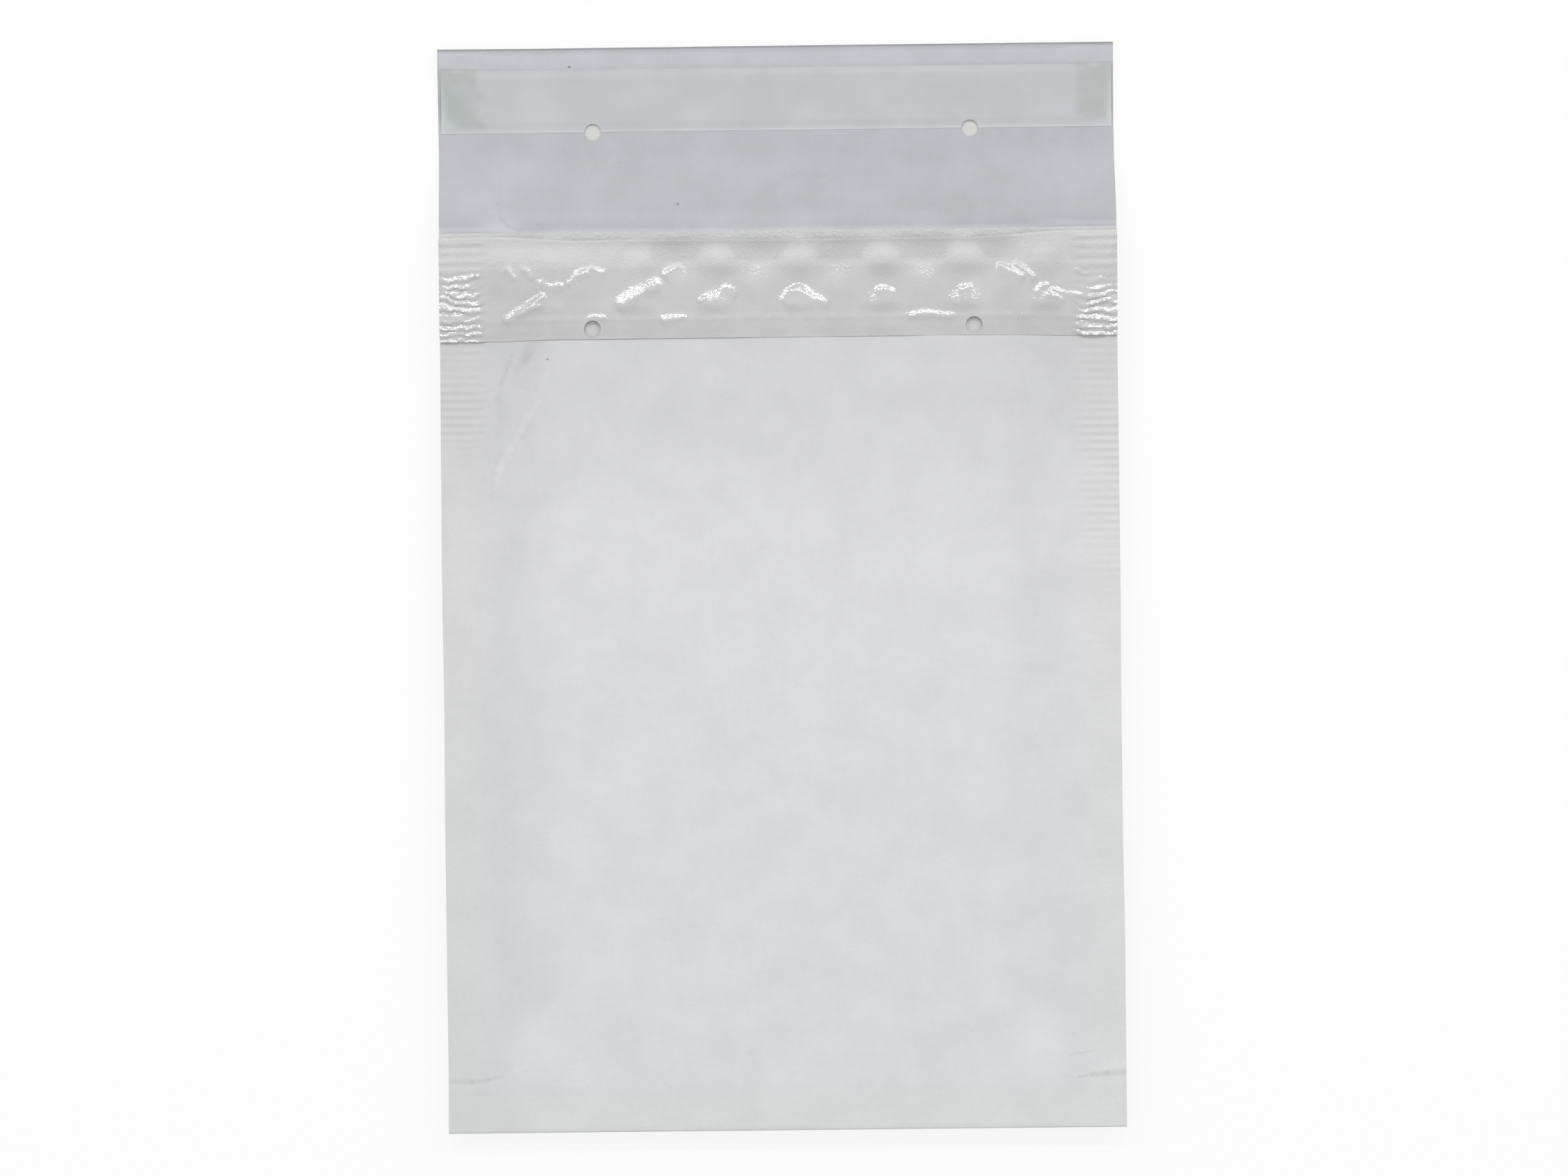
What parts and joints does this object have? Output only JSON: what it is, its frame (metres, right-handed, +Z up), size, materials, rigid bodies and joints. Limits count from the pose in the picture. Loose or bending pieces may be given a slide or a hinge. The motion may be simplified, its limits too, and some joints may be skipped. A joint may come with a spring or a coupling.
{
  "type": "bubble mailer",
  "caption": "Flat padded mailer of white kraft paper with a bubble-film lining, open flap with punched holes and a peel-off strip.",
  "frame": {"origin": "middle of the bounding box at the level that the back panel lies on", "axes": "+X across the mailer, +Y from the bottom fold to the end of the open flap, +Z up out of the front panel"},
  "size_m": [0.17, 0.2726, 0.0129],
  "materials": {
    "kraft_paper": "matt white kraft paper",
    "bubble_film": "clear glossy film over white paper",
    "glue": "clear hot-melt glue",
    "release_paper": "smooth silicone-coated paper"
  },
  "bodies": {
    "root": {"outer_paper": "kraft_paper", "bubble_lining": "bubble_film", "adhesive_strip": "glue", "release_liner": "release_paper"}
  },
  "joints": []
}
